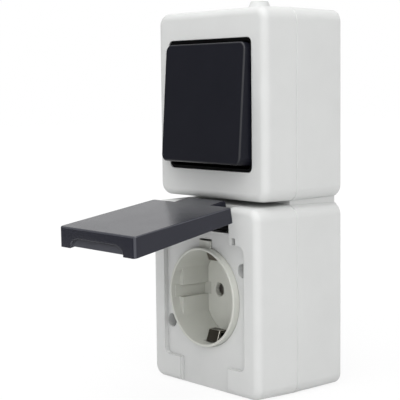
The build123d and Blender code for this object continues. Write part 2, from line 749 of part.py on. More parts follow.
def make_socket_base():
    base = slab(RectangleRounded(socket_base_width, socket_base_height, socket_base_radius),
                socket_base_back, socket_base_front)
    base += lugs(socket_lug_x, socket_base_back)
    chamber_half = contact_width() / 2 + terminal_play
    chamber_bottom = -feed_block_z - feed_block_length / 2 - terminal_play
    wire_way = Cylinder(feed_hole_radius, socket_base_height / 2)
    lug_front = socket_base_back + lug_thick
    for side in (-1, 1):
        x = side * pin_spacing / 2
        base -= bar(x - chamber_half, x + chamber_half, chamber_bottom, leaf_width / 2 + terminal_play,
                    leaf_back, socket_base_front)
        base -= Pos(x, -feed_depth(), -socket_base_height / 2) * wire_way
        base -= post(side * socket_lug_x, 0, screw_radius + shaft_room, socket_base_back, lug_front)
    base -= post(0, 0, screw_radius + screw_play, leaf_back, socket_base_front)
    return Pos(0, 0, socket_z) * base


def make_socket_terminal_screws():
    tip = leaf_back + 2 * leaf_thick
    feeds = [screw(side * pin_spacing / 2, socket_z - feed_block_z, tip, feed_block_front)
             for side in (-1, 1)]
    return feeds + [screw(0, socket_z, leaf_back + leaf_thick, socket_base_front + strap_thick)]


def make_socket_base_screws():
    seat = socket_base_back + lug_thick
    return [screw(side * socket_lug_x, socket_z, pilot_floor + 2 * screw_play, seat) for side in (-1, 1)]


def make_socket_cover_screws():
    tip = cover_screw_seat - cover_screw_length
    return [screw(side * cover_screw_x, socket_z + side * cover_screw_z, tip, cover_screw_seat)
            for side in (-1, 1)]


def lid_shell():
    """The lid's tray, shut: drafted walls, a thick end wall and a finger grip in it."""
    width = seat_width - 2 * lid_play
    height = lid_upper - lid_bottom
    tray = Pos(0, (lid_upper + lid_bottom) / 2) * RectangleRounded(width, height, lid_radius)
    shell = slab(tray, lid_back, lid_front, lid_draft)
    shell = fillet(shell.faces().sort_by(Axis.Y)[0].edges(), lid_edge)
    inside_bottom = lid_bottom + lid_end_wall
    inside_top = lid_upper - lid_wall
    inside = RectangleRounded(width - 2 * lid_wall, inside_top - inside_bottom, lid_radius - lid_wall)
    inside = Pos(0, (inside_top + inside_bottom) / 2) * inside
    shell -= slab(inside, lid_back, lid_front - lid_top, lid_draft)
    half = grip_width / 2
    crown = grip_crown / 2
    shoulder = lid_back + grip_shoulder
    ridge = lid_back + grip_height
    grip = Polyline((-half, -lid_back), (-half, -shoulder), (-crown, -ridge), (crown, -ridge),
                    (half, -shoulder), (half, -lid_back), close=True)
    shell -= extrude(Plane.XY.offset(lid_bottom) * make_face(grip), grip_sink)
    shell -= bar(-half, half, lid_bottom, inside_bottom, lid_back, lid_back + grip_step)
    tab_half = tab_width / 2 + lid_play
    tab_front = seat_floor + tab_proud
    return shell - bar(-tab_half, tab_half, inside_top, lid_upper, lid_back, tab_front + tab_clear)


def lid_arm():
    """The gooseneck that carries the lid from its hinge barrel, shut."""
    top = hinge_z + arm_heel
    low = hinge_z - barrel_radius
    inner = lid_front - arm_thick
    root = lid_upper - lid_wall
    outline_points = Polyline((-hinge_depth, low), (-inner, low), (-inner, root), (-lid_front, root),
                              (-lid_front, top), (-hinge_depth, top), close=True)
    arm = across(make_face(outline_points), arm_width / 2)
    heel = arm.edges().filter_by(Axis.X).sort_by(Axis.Y)[0:2].sort_by(Axis.Z)[-1]
    arm = fillet(heel, arm_round)
    return arm + side_shaft(hinge_depth, hinge_z, barrel_radius, cavity_width / 2 - barrel_room)


def make_lid():
    lid = lid_shell() + lid_arm()
    lid -= side_shaft(hinge_depth, hinge_z, pin_radius + pin_play, cavity_width / 2)
    return lid.rotate(hinge_axis, -lid_open)


def make_lid_seal():
    ring = Circle(seal_radius) - Circle(seal_radius - gasket_ring_width)
    seal = slab(Pos(0, socket_z) * ring, rim_front + rim_clear, lid_front - lid_top)
    return seal.rotate(hinge_axis, -lid_open)


def make_hinge_pin():
    return side_shaft(hinge_depth, hinge_z, pin_radius, cavity_width / 2 + ear_wall)


nodes = {
    "back_box": make_back_box(),
    "cable_grommet": make_cable_grommet(),
    "switch_cover": make_switch_cover(),
    "switch_cover_seal": make_gasket(switch_z),
    "switch_frame": make_switch_frame(),
    "rocker": make_rocker(),
    "rocker_cradle": make_rocker_cradle(),
    "plunger": make_plunger(),
    "plunger_spring": make_plunger_spring(),
    "contact_bridge": make_contact_bridge(),
    "upper_contact": make_throw_contact(1),
    "lower_contact": make_throw_contact(-1),
    "common_contact": make_common_contact(),
    "switch_base": make_switch_base(),
    "switch_terminal_screws": make_switch_terminal_screws(),
    "switch_base_screws": make_switch_base_screws(),
    "switch_cover_screws": make_switch_cover_screws(),
    "socket_cover": make_socket_cover(),
    "socket_cover_seal": make_gasket(socket_z),
    "socket_pot": make_socket_pot(),
    "pin_plate": make_pin_plate(),
    "earth_strap": make_earth_strap(),
    "live_contact": make_pin_contact(-1),
    "neutral_contact": make_pin_contact(1),
    "socket_base": make_socket_base(),
    "socket_terminal_screws": make_socket_terminal_screws(),
    "socket_base_screws": make_socket_base_screws(),
    "socket_cover_screws": make_socket_cover_screws(),
    "lid": make_lid(),
    "lid_seal": make_lid_seal(),
    "hinge_pin": make_hinge_pin(),
}

os.makedirs("parts", exist_ok=True)
for name, solid in nodes.items():
    piece = Compound(children=solid) if isinstance(solid, list) else solid
    export_step(piece, f"parts/{name}.step")
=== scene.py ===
# %% [markdown]
# # A wall switch with a socket under it
#
# Two light grey boxes hang above each other on a wall, joined at the back by a narrow neck. The upper one
# carries a large dark rocker, the lower one an earthed socket under a dark hinged lid, which stands open.
# All of it could be modelled here from nothing, but the CAD model already has every solid at its true
# size and place. So this lesson starts from those solids, redraws a few of them more finely, and gives
# them all their finishes, a studio and a camera.

# %% The solids of the CAD model
import json
from math import acos, cos, degrees, pi, radians, sin, tan

import bmesh
import bpy
from mathutils import Matrix, Vector

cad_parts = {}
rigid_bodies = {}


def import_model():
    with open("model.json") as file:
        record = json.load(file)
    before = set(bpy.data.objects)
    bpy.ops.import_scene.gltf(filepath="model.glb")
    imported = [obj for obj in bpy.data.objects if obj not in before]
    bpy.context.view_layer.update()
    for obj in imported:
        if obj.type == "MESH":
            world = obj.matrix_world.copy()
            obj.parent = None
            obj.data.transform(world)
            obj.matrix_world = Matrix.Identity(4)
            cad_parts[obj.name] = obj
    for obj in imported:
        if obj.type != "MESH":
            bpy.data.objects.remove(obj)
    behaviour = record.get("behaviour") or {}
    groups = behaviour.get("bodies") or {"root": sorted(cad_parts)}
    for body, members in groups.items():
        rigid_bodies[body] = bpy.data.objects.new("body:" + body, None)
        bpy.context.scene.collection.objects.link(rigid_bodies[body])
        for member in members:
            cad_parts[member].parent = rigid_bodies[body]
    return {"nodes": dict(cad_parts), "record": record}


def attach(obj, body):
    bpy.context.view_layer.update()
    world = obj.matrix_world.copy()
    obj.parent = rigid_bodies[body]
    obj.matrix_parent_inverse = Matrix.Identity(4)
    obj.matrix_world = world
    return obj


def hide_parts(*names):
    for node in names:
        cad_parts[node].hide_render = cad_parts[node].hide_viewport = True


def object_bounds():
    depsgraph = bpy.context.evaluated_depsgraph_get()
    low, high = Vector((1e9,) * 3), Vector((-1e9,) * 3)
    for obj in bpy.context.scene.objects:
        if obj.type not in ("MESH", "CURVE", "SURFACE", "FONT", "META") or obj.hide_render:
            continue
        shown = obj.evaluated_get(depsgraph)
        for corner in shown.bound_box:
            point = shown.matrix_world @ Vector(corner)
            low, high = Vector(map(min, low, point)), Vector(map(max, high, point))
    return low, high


millimetre = 0.001

for leftover in list(bpy.data.objects):
    bpy.data.objects.remove(leftover)
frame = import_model()
cad_low, cad_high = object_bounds()
print("CAD box in mm", [round(side / millimetre, 1) for side in cad_high - cad_low])

# %% [markdown]
# The camera looks at the unit from its right and from a little above its middle. A camera can be aimed by
# hand, or by a constraint that tracks an empty, but this one has to stand where the straight edges of the
# boxes say. So it is given by an eye point, two angles and a small roll, and a matrix built from the
# camera's three directions sets them all in one line.

# %% The camera
eye = Vector((0.387815, -0.368919, 0.047938))
azimuth, elevation, roll = radians(50.461), radians(5.356), radians(-0.616)
picture_side, focal_pixels, sensor = 400, 1214.887, 36.0

back = Vector((sin(azimuth) * cos(elevation), -cos(azimuth) * cos(elevation), sin(elevation)))
level_right = Vector((cos(azimuth), sin(azimuth), 0))
level_up = back.cross(level_right)
right = cos(roll) * level_right + sin(roll) * level_up
up = cos(roll) * level_up - sin(roll) * level_right

lens = bpy.data.cameras.new("camera")
lens.sensor_width = sensor
lens.lens = sensor * focal_pixels / picture_side
lens.clip_start = 0.01
camera = bpy.data.objects.new("camera", lens)
camera.matrix_world = Matrix.Translation(eye) @ Matrix((right, up, back)).transposed().to_4x4()
bpy.context.scene.collection.objects.link(camera)
bpy.context.scene.camera = camera
bpy.context.scene.view_settings.view_transform = "Standard"
print("lens", round(lens.lens, 1), "mm, eye", [round(place / millimetre) for place in eye], "mm")

# %% [markdown]
# Every finish below is a network of shader nodes. It could be wired by hand in the shader editor, or node
# by node in Python, but then a sum of three terms takes a dozen lines. A small class wraps a socket
# instead, and an expression on it adds the Math nodes that it stands for, so that 1 - mask reads as it
# does on paper.

# %% Sums and products of sockets
class Value:
    """One output of a node, which takes part in sums and products."""

    def __init__(self, nodes, socket):
        self.nodes = nodes
        self.socket = socket

    def math(self, operation, first, second):
        """Adds a Math node."""
        return self.nodes.add("Math", {"operation": operation}, {0: first, 1: second})

    def __add__(self, other):
        return self.math("ADD", self, other)

    def __radd__(self, other):
        return self.math("ADD", other, self)

    def __sub__(self, other):
        return self.math("SUBTRACT", self, other)

    def __rsub__(self, other):
        return self.math("SUBTRACT", other, self)

    def __mul__(self, other):
        return self.math("MULTIPLY", self, other)

    def __rmul__(self, other):
        return self.math("MULTIPLY", other, self)

    def clamped(self):
        """The same value, kept between nothing and one."""
        return self.nodes.add("Clamp", {}, {"Value": self})


operators = [name.strip("_") for name in vars(Value) if name.endswith(("add__", "sub__", "mul__"))]
print("a value knows", ", ".join(operators))

# %% [markdown]
# A finish needs more than Math nodes, and any other node comes from one method. Options and sockets could
# be set in any order, but some sockets are there only under certain options. So the options come first,
# and then each named socket gets a number, a colour or a link. The world's tree is the first to be filled
# this way.

# %% Any other node
class Nodes:
    """The node tree of a material or of the world."""

    def __init__(self, tree):
        self.tree = tree
        tree.nodes.clear()

    def add(self, kind, settings, sockets, output=None):
        """Adds a node: its options first, then a number, colour or link for each named socket."""
        node = self.tree.nodes.new("ShaderNode" + kind)
        for option, setting in settings.items():
            setattr(node, option, setting)
        for name, value in sockets.items():
            socket = node.inputs[name] if isinstance(name, int) else self.shown(node.inputs, name)
            if isinstance(value, Value):
                self.tree.links.new(value.socket, socket)
            else:
                socket.default_value = value
        outputs = [socket for socket in node.outputs if socket.enabled]
        if not outputs:
            return None
        return Value(self, self.shown(node.outputs, output) if output else outputs[0])

    @staticmethod
    def shown(sockets, name):
        """The socket of that name which the node's options leave in use."""
        return next(socket for socket in sockets if socket.name == name and socket.enabled)


world = bpy.data.worlds.new("surroundings")
world.use_nodes = True
bpy.context.scene.world = world
sky = Nodes(world.node_tree)
print(world.name, "have", len(sky.tree.nodes), "nodes so far")

# %% [markdown]
# The unit stands before white. One bright white world would light it from all sides until the pale boxes
# lose their shape, and a painted backdrop would show its edges. So the world has two strengths: full
# white where the camera or a reflection looks at it, and a softer one where it lights the object. The
# Light Path node tells the two apart. In front of the unit and to its left the studio is dark, and dark
# plastic shows that, so the white is dimmed in that direction for reflections alone.

# %% The white surroundings
white = (1.0, 1.0, 1.0, 1.0)
sky_light = 0.46
dark_side = Vector((-0.77, -0.63, -0.09)).normalized()
dark_from, dark_steepness, dark_depth = 0.30, 3.0, 0.95


def seen(nodes):
    """One for what the camera, a reflection or a view through glass meets, else nothing."""
    kinds = ("Camera", "Glossy", "Transmission")
    rays = [nodes.add("LightPath", {}, {}, f"Is {kind} Ray") for kind in kinds]
    return (rays[0] + rays[1] + rays[2]).clamped()


lighting = sky.add("Background", {}, {"Color": white, "Strength": sky_light})
direction = sky.add("TexCoord", {}, {}, "Generated")
facing = sky.add("VectorMath", {"operation": "DOT_PRODUCT"}, {0: direction, 1: dark_side}, "Value")
mirrored = sky.add("LightPath", {}, {}, "Is Glossy Ray")
dimmed = ((facing - dark_from) * dark_steepness).clamped() * dark_depth * mirrored
backdrop = sky.add("Background", {}, {"Color": white, "Strength": 1 - dimmed})
surroundings = sky.add("MixShader", {}, {0: seen(sky), 1: lighting, 2: backdrop})
sky.add("OutputWorld", {}, {"Surface": surroundings})
print("sky lights the object at", sky_light)

# %% [markdown]
# A colour picked on a screen is not the number that a shader works with, because screens lift the dark
# tones. The shader's numbers could be typed in, but it is hard to picture a grey of 0.22. So colours are
# written here as a screen shows them, and a function turns them into light.

# %% Colours
def linear(red, green, blue):
    """A colour as a screen shows it, 0 to 255, turned into light by the sRGB curve."""
    def channel(level):
        level = level / 255
        return level / 12.92 if level <= 0.04045 else ((level + 0.055) / 1.055) ** 2.4
    return (channel(red), channel(green), channel(blue), 1.0)


print("mid grey in shader light:", round(linear(128, 128, 128)[0], 3))

# %% [markdown]
# The unit stands on pale paper that runs out of sight. A plain sheet of it would show a grey line where
# it ends against the white. So the camera sees this one as mostly plain white, with a share of real paper
# in it that keeps a soft shadow, and that share fades with the distance. To the light that bounces it is
# ordinary pale paper.

# %% The floor
floor_left, floor_right, floor_front, floor_back = -3.0, 0.6, -0.3, 3.0
paper_share, paper_reach = 0.16, 0.5
floor_white = 1.03


def rectangle(low, high):
    """An outline between two opposite corners."""
    return [(low[0], low[1]), (high[0], low[1]), (high[0], high[1]), (low[0], high[1])]


def new_material(name):
    """A material and its empty node tree."""
    material = bpy.data.materials.new(name)
    material.use_nodes = True
    return material, Nodes(material.node_tree)


sheet = rectangle((floor_left, floor_front), (floor_right, floor_back))
floor_mesh = bpy.data.meshes.new("floor")
floor_mesh.from_pydata([(x, y, cad_low.z) for x, y in sheet], [], [range(len(sheet))])
floor = bpy.data.objects.new("floor", floor_mesh)
bpy.context.scene.collection.objects.link(floor)

floor_paper, ground = new_material("floor_paper")
paper = ground.add("BsdfDiffuse", {}, {"Color": linear(232, 232, 232)})
glow = ground.add("Emission", {}, {"Color": white, "Strength": floor_white})
spot = ground.add("TexCoord", {}, {}, "Object")
distance = ground.add("VectorMath", {"operation": "LENGTH"}, {0: spot}, "Value")
nearness = 1 - (distance * (1 / paper_reach)).clamped()
plainness = seen(ground) * (1 - paper_share * nearness)
ground_look = ground.add("MixShader", {}, {0: plainness, 1: paper, 2: glow})
ground.add("OutputMaterial", {}, {"Surface": ground_look})
floor_mesh.materials.append(floor_paper)
print("floor at", round(cad_low.z / millimetre, 2), "mm")

# %% [markdown]
# Large soft lamps model the boxes: one from the right, one from above and two weak ones from the front. A
# sun or a point lamp would draw hard shadows, which a studio avoids. An area lamp of P watts at the
# distance d lights a white sheet to P / (pi d)^2, so each lamp is given by the brightness that it adds,
# and the watts follow from it.

# %% The lamps
middle = (cad_low + cad_high) / 2
lamp_distance = 0.9


def soft_lamp(name, towards, brightness, side):
    """A square lamp that lights a white sheet facing it to the given brightness."""
    light = bpy.data.lights.new(name, "AREA")
    light.energy = brightness * (pi * lamp_distance) ** 2
    light.size = side
    lamp = bpy.data.objects.new(name, light)
    direction = Vector(towards).normalized()
    lamp.location = middle + lamp_distance * direction
    lamp.rotation_mode = "QUATERNION"
    lamp.rotation_quaternion = direction.to_track_quat("Z", "Y")
    bpy.context.scene.collection.objects.link(lamp)
    print(name, round(light.energy, 2), "W")


soft_lamp("right_lamp", towards=(0.70, -0.45, 0.55), brightness=0.50, side=0.7)
soft_lamp("top_lamp", towards=(0.0, -0.25, 0.97), brightness=0.60, side=0.8)
soft_lamp("left_lamp", towards=(-0.60, -0.75, 0.25), brightness=0.07, side=0.7)
soft_lamp("front_lamp", towards=(0.30, -0.95, 0.10), brightness=0.10, side=0.7)

# %% [markdown]
# The lid turns on a pin above the socket and stands open. It could be drawn open, with every corner at a
# slant, but it is easier to draw shut, flat on the socket, and to swing open at the end. The joint of the
# CAD model says where the pin lies and how far the lid swings.

# %% Where the lid turns
joints = {joint["name"]: joint for joint in frame["record"]["behaviour"]["joints"]}


def turn_about(point, angle):
    """A turn about the x direction through a point, by an angle in degrees."""
    turn = Matrix.Rotation(radians(angle), 4, "X")
    return Matrix.Translation(point) @ turn @ Matrix.Translation(-point)


hinge, lid_swing = Vector(joints["lid_hinge"]["pos_m"]), joints["lid_hinge"]["range_deg"][1]
shutting = turn_about(hinge, lid_swing)
hinge_depth, hinge_z = -hinge.y / millimetre, hinge.z / millimetre
print("the pin lies", round(hinge_depth, 1), "mm from the wall, and the lid swings", lid_swing, "degrees")

# %% [markdown]
# The lid is a shallow tray. Its walls get lower towards the hinge, so that it looks like a wedge from the
# side, and its end wall leans a little. It could be pushed into shape point by point in edit mode, but
# then no size can be read from it afterwards. A joiner's way is clearer: a straight block with a drawn
# outline. Lengths are in millimetres, and depths count from the wall into the room. The width is the
# solid's, and the end lies a little beyond the solid's.

# %% The lid's tray
solid_length, lid_longer = 49.3, 0.9
grip_wall_height, hinge_wall_height, end_lean = 8.3, 6.25, 1.2


def prism(outline, start, end, along, end_outline=None):
    """A block that runs along x, depth or z and has this outline in the other two, in that order."""
    block = bmesh.new()
    rings = []
    for level, drawn in ((start, outline), (end, end_outline or outline)):
        places = {"x": [(level, -first, second) for first, second in drawn],
                  "depth": [(first, -level, second) for first, second in drawn],
                  "z": [(first, -second, level) for first, second in drawn]}
        rings.append([block.verts.new(millimetre * Vector(place)) for place in places[along]])
    for ring in rings:
        block.faces.new(ring)
    for corner in range(len(outline)):
        block.faces.new((rings[0][corner - 1], rings[0][corner], rings[1][corner], rings[1][corner - 1]))
    bmesh.ops.recalc_face_normals(block, faces=block.faces)
    return block


shut = [shutting @ vertex.co / millimetre for vertex in frame["nodes"]["lid"].data.vertices]
lid_half = max(place.x for place in shut)
lid_face = -min(place.y for place in shut)
lid_end = min(place.z for place in shut) - lid_longer
lid_length = solid_length + lid_longer
lid_root = lid_end + lid_length
lid_rim = lid_face - grip_wall_height

tray = prism([(lid_rim, lid_end), (lid_face, lid_end + end_lean), (lid_face, lid_root),
              (lid_face - hinge_wall_height, lid_root)], -lid_half, lid_half, "x")
print("tray", round(2 * lid_half, 1), "x", round(lid_length, 1), "mm")

# %% [markdown]
# The tray's upright corners are round, and so is the edge of its face. A Bevel modifier would round them
# all alike, but the corners are wider than the edge. So the upright edges are rounded first, and then
# what lies in the face, which by now includes the new corners.

# %% Its rounded edges
corner_radius, edge_radius, edge_steps = 1.4, 0.6, 4


def round_off(block, edges, radius, steps):
    """Rounds edges of a block by a radius in mm."""
    bmesh.ops.bevel(block, geom=edges, offset=radius * millimetre, segments=steps, profile=0.5,
                    affect="EDGES")


upright = [edge for edge in tray.edges
           if abs(edge.verts[0].co.y - edge.verts[1].co.y) > hinge_wall_height / 2 * millimetre]
round_off(tray, upright, corner_radius, edge_steps)
round_face = [edge for edge in tray.edges
              if all(vertex.co.y < -(lid_face - edge_radius) * millimetre for vertex in edge.verts)]
round_off(tray, round_face, edge_radius, edge_steps)
print(len(upright), "upright edges and", len(round_face), "edges of the face rounded")

# %% [markdown]
# The tray is hollow. A Solidify modifier would give it walls of one thickness, but the end wall is thick
# enough for a grip, so a second block is taken out with a boolean. The boolean could stay on the lid as a
# modifier, but the next cuts are easier to follow on a finished mesh, so each is applied at once. A tool
# overshoots the faces that it cuts, because booleans dislike faces that coincide.

# %% Its hollow
side_wall, end_wall, face_thick = 1.6, 3.9, 2.0
overshoot = 1.0


def as_piece(name, block):
    """Turns a block into an object of the scene."""
    mesh = bpy.data.meshes.new(name)
    block.to_mesh(mesh)
    block.free()
    piece = bpy.data.objects.new(name, mesh)
    bpy.context.scene.collection.objects.link(piece)
    return piece


def cut(piece, block, operation="DIFFERENCE"):
    """Takes a block from a piece, or joins it with UNION, or keeps what they share with INTERSECT."""
    tool = as_piece("tool", block)
    boolean = piece.modifiers.new("cut", "BOOLEAN")
    boolean.operation, boolean.solver, boolean.object = operation, "EXACT", tool
    spare = piece.data
    finished = piece.evaluated_get(bpy.context.evaluated_depsgraph_get())
    piece.data = bpy.data.meshes.new_from_object(finished)
    piece.modifiers.clear()
    bpy.data.meshes.remove(spare)
    bpy.data.objects.remove(tool)


lid = as_piece("lid_form", tray)
ceiling = lid_face - face_thick
hollow = rectangle((lid_rim - overshoot, lid_end + end_wall), (ceiling, lid_root - side_wall))
cut(lid, prism(hollow, side_wall - lid_half, lid_half - side_wall, "x"))
print("hollowed lid has", len(lid.data.polygons), "faces")

# %% [markdown]
# The grip is a shallow recess in the end wall, with rounded shoulders. Its floor slants, deepest along
# its upper edge, so that a fingertip hooks under that edge. One straight block can't have both the
# outline and the slant, so two have one each, and what they share is taken out of the wall. Between the
# lid's feet the wall is a little shorter as well.

# %% Its finger grip
grip_half, grip_crown, grip_height = 18.0, 12.5, 4.0
grip_deep, grip_shallow = 1.9, 0.2
foot_height = 0.7


def arc(centre, radii, start, end, steps=8):
    """Points on an ellipse round a centre, from one angle to another."""
    angles = [radians(start + (end - start) * step / steps) for step in range(steps + 1)]
    return [(centre[0] + radii[0] * cos(angle), centre[1] + radii[1] * sin(angle)) for angle in angles]


grip_top, foot = lid_rim + grip_height, lid_rim + foot_height
shoulder = arc((grip_crown, lid_rim), (grip_half - grip_crown, grip_height), 0, 90)
half_outline = [(grip_half, lid_rim - overshoot)] + shoulder
grip_outline = half_outline + [(-x, depth) for x, depth in reversed(half_outline)]
slant = [(lid_rim - overshoot, lid_end - overshoot), (grip_top, lid_end - overshoot),
         (grip_top, lid_end + grip_deep), (lid_rim - overshoot, lid_end + grip_shallow)]
grip = as_piece("grip", prism(grip_outline, lid_end - overshoot, lid_end + end_wall, "z"))
cut(grip, prism(slant, -grip_half - overshoot, grip_half + overshoot, "x"), "INTERSECT")
recess = bmesh.new()
recess.from_mesh(grip.data)
bpy.data.objects.remove(grip)
cut(lid, recess)
between_feet = rectangle((lid_rim - overshoot, lid_end - overshoot), (foot, lid_end + end_wall))
cut(lid, prism(between_feet, -grip_half, grip_half, "x"))
print("grip", 2 * grip_half, "x", grip_height, "mm")

# %% [markdown]
# A mould leaves no knife edge where a finger goes, so the outline of the grip is rounded. Its edges could
# be chosen by hand in edit mode, but the choice would be lost with the next change of a size. So they are
# found by their place: both ends of such an edge lie in the outer face of the leaning wall, close to the
# recess.

# %% The rounded outline of the grip
grip_edge, grip_steps = 0.4, 2
face_tolerance = 0.1 * grip_edge
lean = end_lean / grip_wall_height


def on_grip_edge(vertex):
    """True for a point of the end wall's outside that lies on the outline of the grip."""
    x, depth, z = vertex.co.x / millimetre, -vertex.co.y / millimetre, vertex.co.z / millimetre
    outside = abs(z - lid_end - lean * (depth - lid_rim)) < face_tolerance
    return outside and foot - grip_edge < depth < grip_top + grip_edge and abs(x) < grip_half + grip_edge


wall = bmesh.new()
wall.from_mesh(lid.data)
outline_edges = [edge for edge in wall.edges if all(on_grip_edge(vertex) for vertex in edge.verts)]
round_off(wall, outline_edges, grip_edge, grip_steps)
wall.to_mesh(lid.data)
wall.free()
print(len(outline_edges), "edges of the grip rounded")

# %% [markdown]
# A bent arm carries the lid from a barrel that turns on the pin. It could be swept along a path, but seen
# from the side it is an L with a rounded heel, so one block with that outline will do. The barrel is a
# block with a circle for its outline, and the bore for the pin is cut last, through everything.

# %% Its arm and barrel
arm_half, arm_thick, arm_heel, heel_radius = 11.5, 2.6, 0.8, 1.2
barrel_half, barrel_radius, bore_radius = 16.6, 2.4, 1.28
circle_corners = 24

arm_top, arm_low = hinge_z + arm_heel, hinge_z - barrel_radius
bend = lid_face - arm_thick
heel = arc((lid_face - heel_radius, arm_top - heel_radius), (heel_radius, heel_radius), 0, 90)
arm = ([(hinge_depth, arm_low), (bend, arm_low), (bend, lid_root - side_wall),
        (lid_face - edge_radius / 2, lid_root - side_wall)] + heel + [(hinge_depth, arm_top)])
cut(lid, prism(arm, -arm_half, arm_half, "x"), "UNION")
last_corner = 360 - 360 / circle_corners
round_forms = ((barrel_half, barrel_radius, "UNION"), (lid_half, bore_radius, "DIFFERENCE"))
for half, radius, operation in round_forms:
    circle = arc((hinge_depth, hinge_z), (radius, radius), 0, last_corner, circle_corners - 1)
    cut(lid, prism(circle, -half, half, "x"), operation)
print("barrel", 2 * barrel_half, "mm long, with a bore of", 2 * bore_radius, "mm")

# %% [markdown] The finished lid swings open and takes the place of its solid. The solid could be
# hidden by hand, but then the new piece would stay behind when the lid moves. Weighted normals keep
# flat faces flat beside rounded edges.

# %% The lid in its place
sharp_from = radians(35)
pieces = dict(frame["nodes"])


def stands_for(piece, node, body):
    """Shows a piece instead of a solid, smooth over rounded edges, and moves it with its body."""
    piece.data.materials.clear()
    piece.data.shade_smooth()
    piece.data.set_sharp_from_angle(angle=sharp_from)
    piece.modifiers.new("even_shading", "WEIGHTED_NORMAL").keep_sharp = True
    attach(piece, body)
    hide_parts(node)
    pieces[node] = piece
    print(piece.name, "has", len(piece.data.polygons), "faces")


lid.data.transform(shutting.inverted())
stands_for(lid, "lid", "lid")

# %% [markdown]
# Inside the lid a rubber ring presses on the socket's rim. The rim stands a little further out here than
# in its solid, so the solid's ring would press into it. A new ring could be drawn, but only its free end
# is too long, so a copy of the solid is cut back by as much as the rim moves. The copy's faces are joined
# along their edges first, because a boolean needs a closed mesh.

# %% The lid's gasket
rim_forward = 1.3
solid_seal_end = 48.05
beyond, weld = 30.0, 0.001


def blank(node):
    """A copy of a solid to cut at, with its faces joined along their edges."""
    block = bmesh.new()
    block.from_mesh(frame["nodes"][node].data)
    bmesh.ops.remove_doubles(block, verts=block.verts, dist=weld * millimetre)
    piece = as_piece(node + "_form", block)
    normals = piece.data.attributes.get("custom_normal")
    if normals:
        piece.data.attributes.remove(normals)
    return piece


gasket = blank("lid_seal")
gasket.data.transform(shutting)
free_end = rectangle((-beyond, lid_end - beyond), (beyond, hinge_z))
cut(gasket, prism(free_end, lid_rim - overshoot, solid_seal_end + rim_forward, "depth"))
gasket.data.transform(shutting.inverted())
stands_for(gasket, "lid_seal", "lid")

# %% [markdown]
# The shut lid lies in a shallow seat of the socket's cover, which reaches down as far as the lid does.
# The lid is longer here than its solid, so the seat is too. The points at its lower end could be moved,
# if they were easy to tell from their neighbours. A block with the same round corners cuts the end anew
# instead.

# %% The seat of the lid
seat_half, seat_corner, seat_play = 26.0, 3.0, 0.55
seat_floor, cover_front = 45.95, 48.0
seat_end = lid_end - seat_play
seat_inner = seat_half - seat_corner
seat_joins = seat_end + 3 * seat_corner

lower_end = (arc((-seat_inner, seat_end + seat_corner), (seat_corner, seat_corner), 180, 270)
             + arc((seat_inner, seat_end + seat_corner), (seat_corner, seat_corner), 270, 360)
             + [(seat_half, seat_joins), (-seat_half, seat_joins)])
cover = blank("socket_cover")
cut(cover, prism(lower_end, seat_floor, cover_front + overshoot, "depth"))
stands_for(cover, "socket_cover", "housing")

# %% [markdown]
# The socket's pot has two flats at its sides, and a groove runs down the middle of each, which guides the
# plug. A bump in the material would deceive the eye from the front alone, so the grooves are cut from a
# copy of the solid, down to the floor. The rim's points all move forward alike, so they need no tool.

# %% The socket's pot
socket_z = -40.125
rim_front, rim_round, pot_floor = 47.7, 0.6, 30.6
groove_half, groove_inner, groove_outer = 2.62, 14.5, 19.4
rim_foot = rim_front - rim_round

pot = blank("socket_pot")
for vertex in pot.data.vertices:
    if -vertex.co.y > rim_foot * millimetre:
        vertex.co.y -= rim_forward * millimetre
for side in (-1, 1):
    groove = rectangle((side * groove_inner, socket_z - groove_half),
                       (side * groove_outer, socket_z + groove_half))
    cut(pot, prism(groove, pot_floor, rim_foot, "depth"))
stands_for(pot, "socket_pot", "housing")

# %% [markdown]
# The rocker is a large plate, and its corners are rounder than those of its solid. A bevel can't widen a
# corner that is round already. So what the solid shares with a block of the right outline is kept, and
# the block is a hair wider, so that only its corners cut. The rocker rests tilted, and the block is
# tilted too.

# %% The rocker
rocker_half, rocker_half_height, rocker_corner = 25.35, 24.7, 3.2
rocker_face_reach, rocker_skirt, rocker_edge = 10.7, 9.2, 0.9
hair = 0.02

pivot = Vector(joints["rocker_tilt"]["pos_m"])
tilting = turn_about(pivot, -joints["rocker_tilt"]["range_deg"][1] / 2)
rocker_outline = []
for quarter, (x_side, z_side) in enumerate(((1, 1), (-1, 1), (-1, -1), (1, -1))):
    centre = (x_side * (rocker_half + hair - rocker_corner),
              pivot.z / millimetre + z_side * (rocker_half_height + hair - rocker_corner))
    rocker_outline += arc(centre, (rocker_corner, rocker_corner), 90 * quarter, 90 * quarter + 90)
rocker_face = -pivot.y / millimetre + rocker_face_reach
corners = prism(rocker_outline, rocker_face - rocker_skirt - overshoot, rocker_face + hair, "depth")
front = [edge for edge in corners.edges
         if all(vertex.co.y < -rocker_face * millimetre for vertex in edge.verts)]
round_off(corners, front, rocker_edge, edge_steps)
bmesh.ops.transform(corners, matrix=tilting, verts=corners.verts)
rocker = blank("rocker")
cut(rocker, corners, "INTERSECT")
stands_for(rocker, "rocker", "rocker")

# %% [markdown]
# A neck joins the boxes behind the narrow gap between them, and their round corners run on towards it,
# which leaves a shaded notch on either side. A plain slot would leave steps in those corners. So the
# block that frees them follows them, a hair away from their faces, and widens towards the wall, where the
# boxes get smaller. The lip that the solid has in front of the neck goes as well, and the gap is dark up
# to the seam.

# %% The neck between the boxes
box_half, box_corner, half_gap = 34.5, 5.5, 0.825
box_draft = tan(radians(1.1))
seam_depth, neck_lip = 26.1, 3.0
neck_half, notch_side = 30.0, 33.6


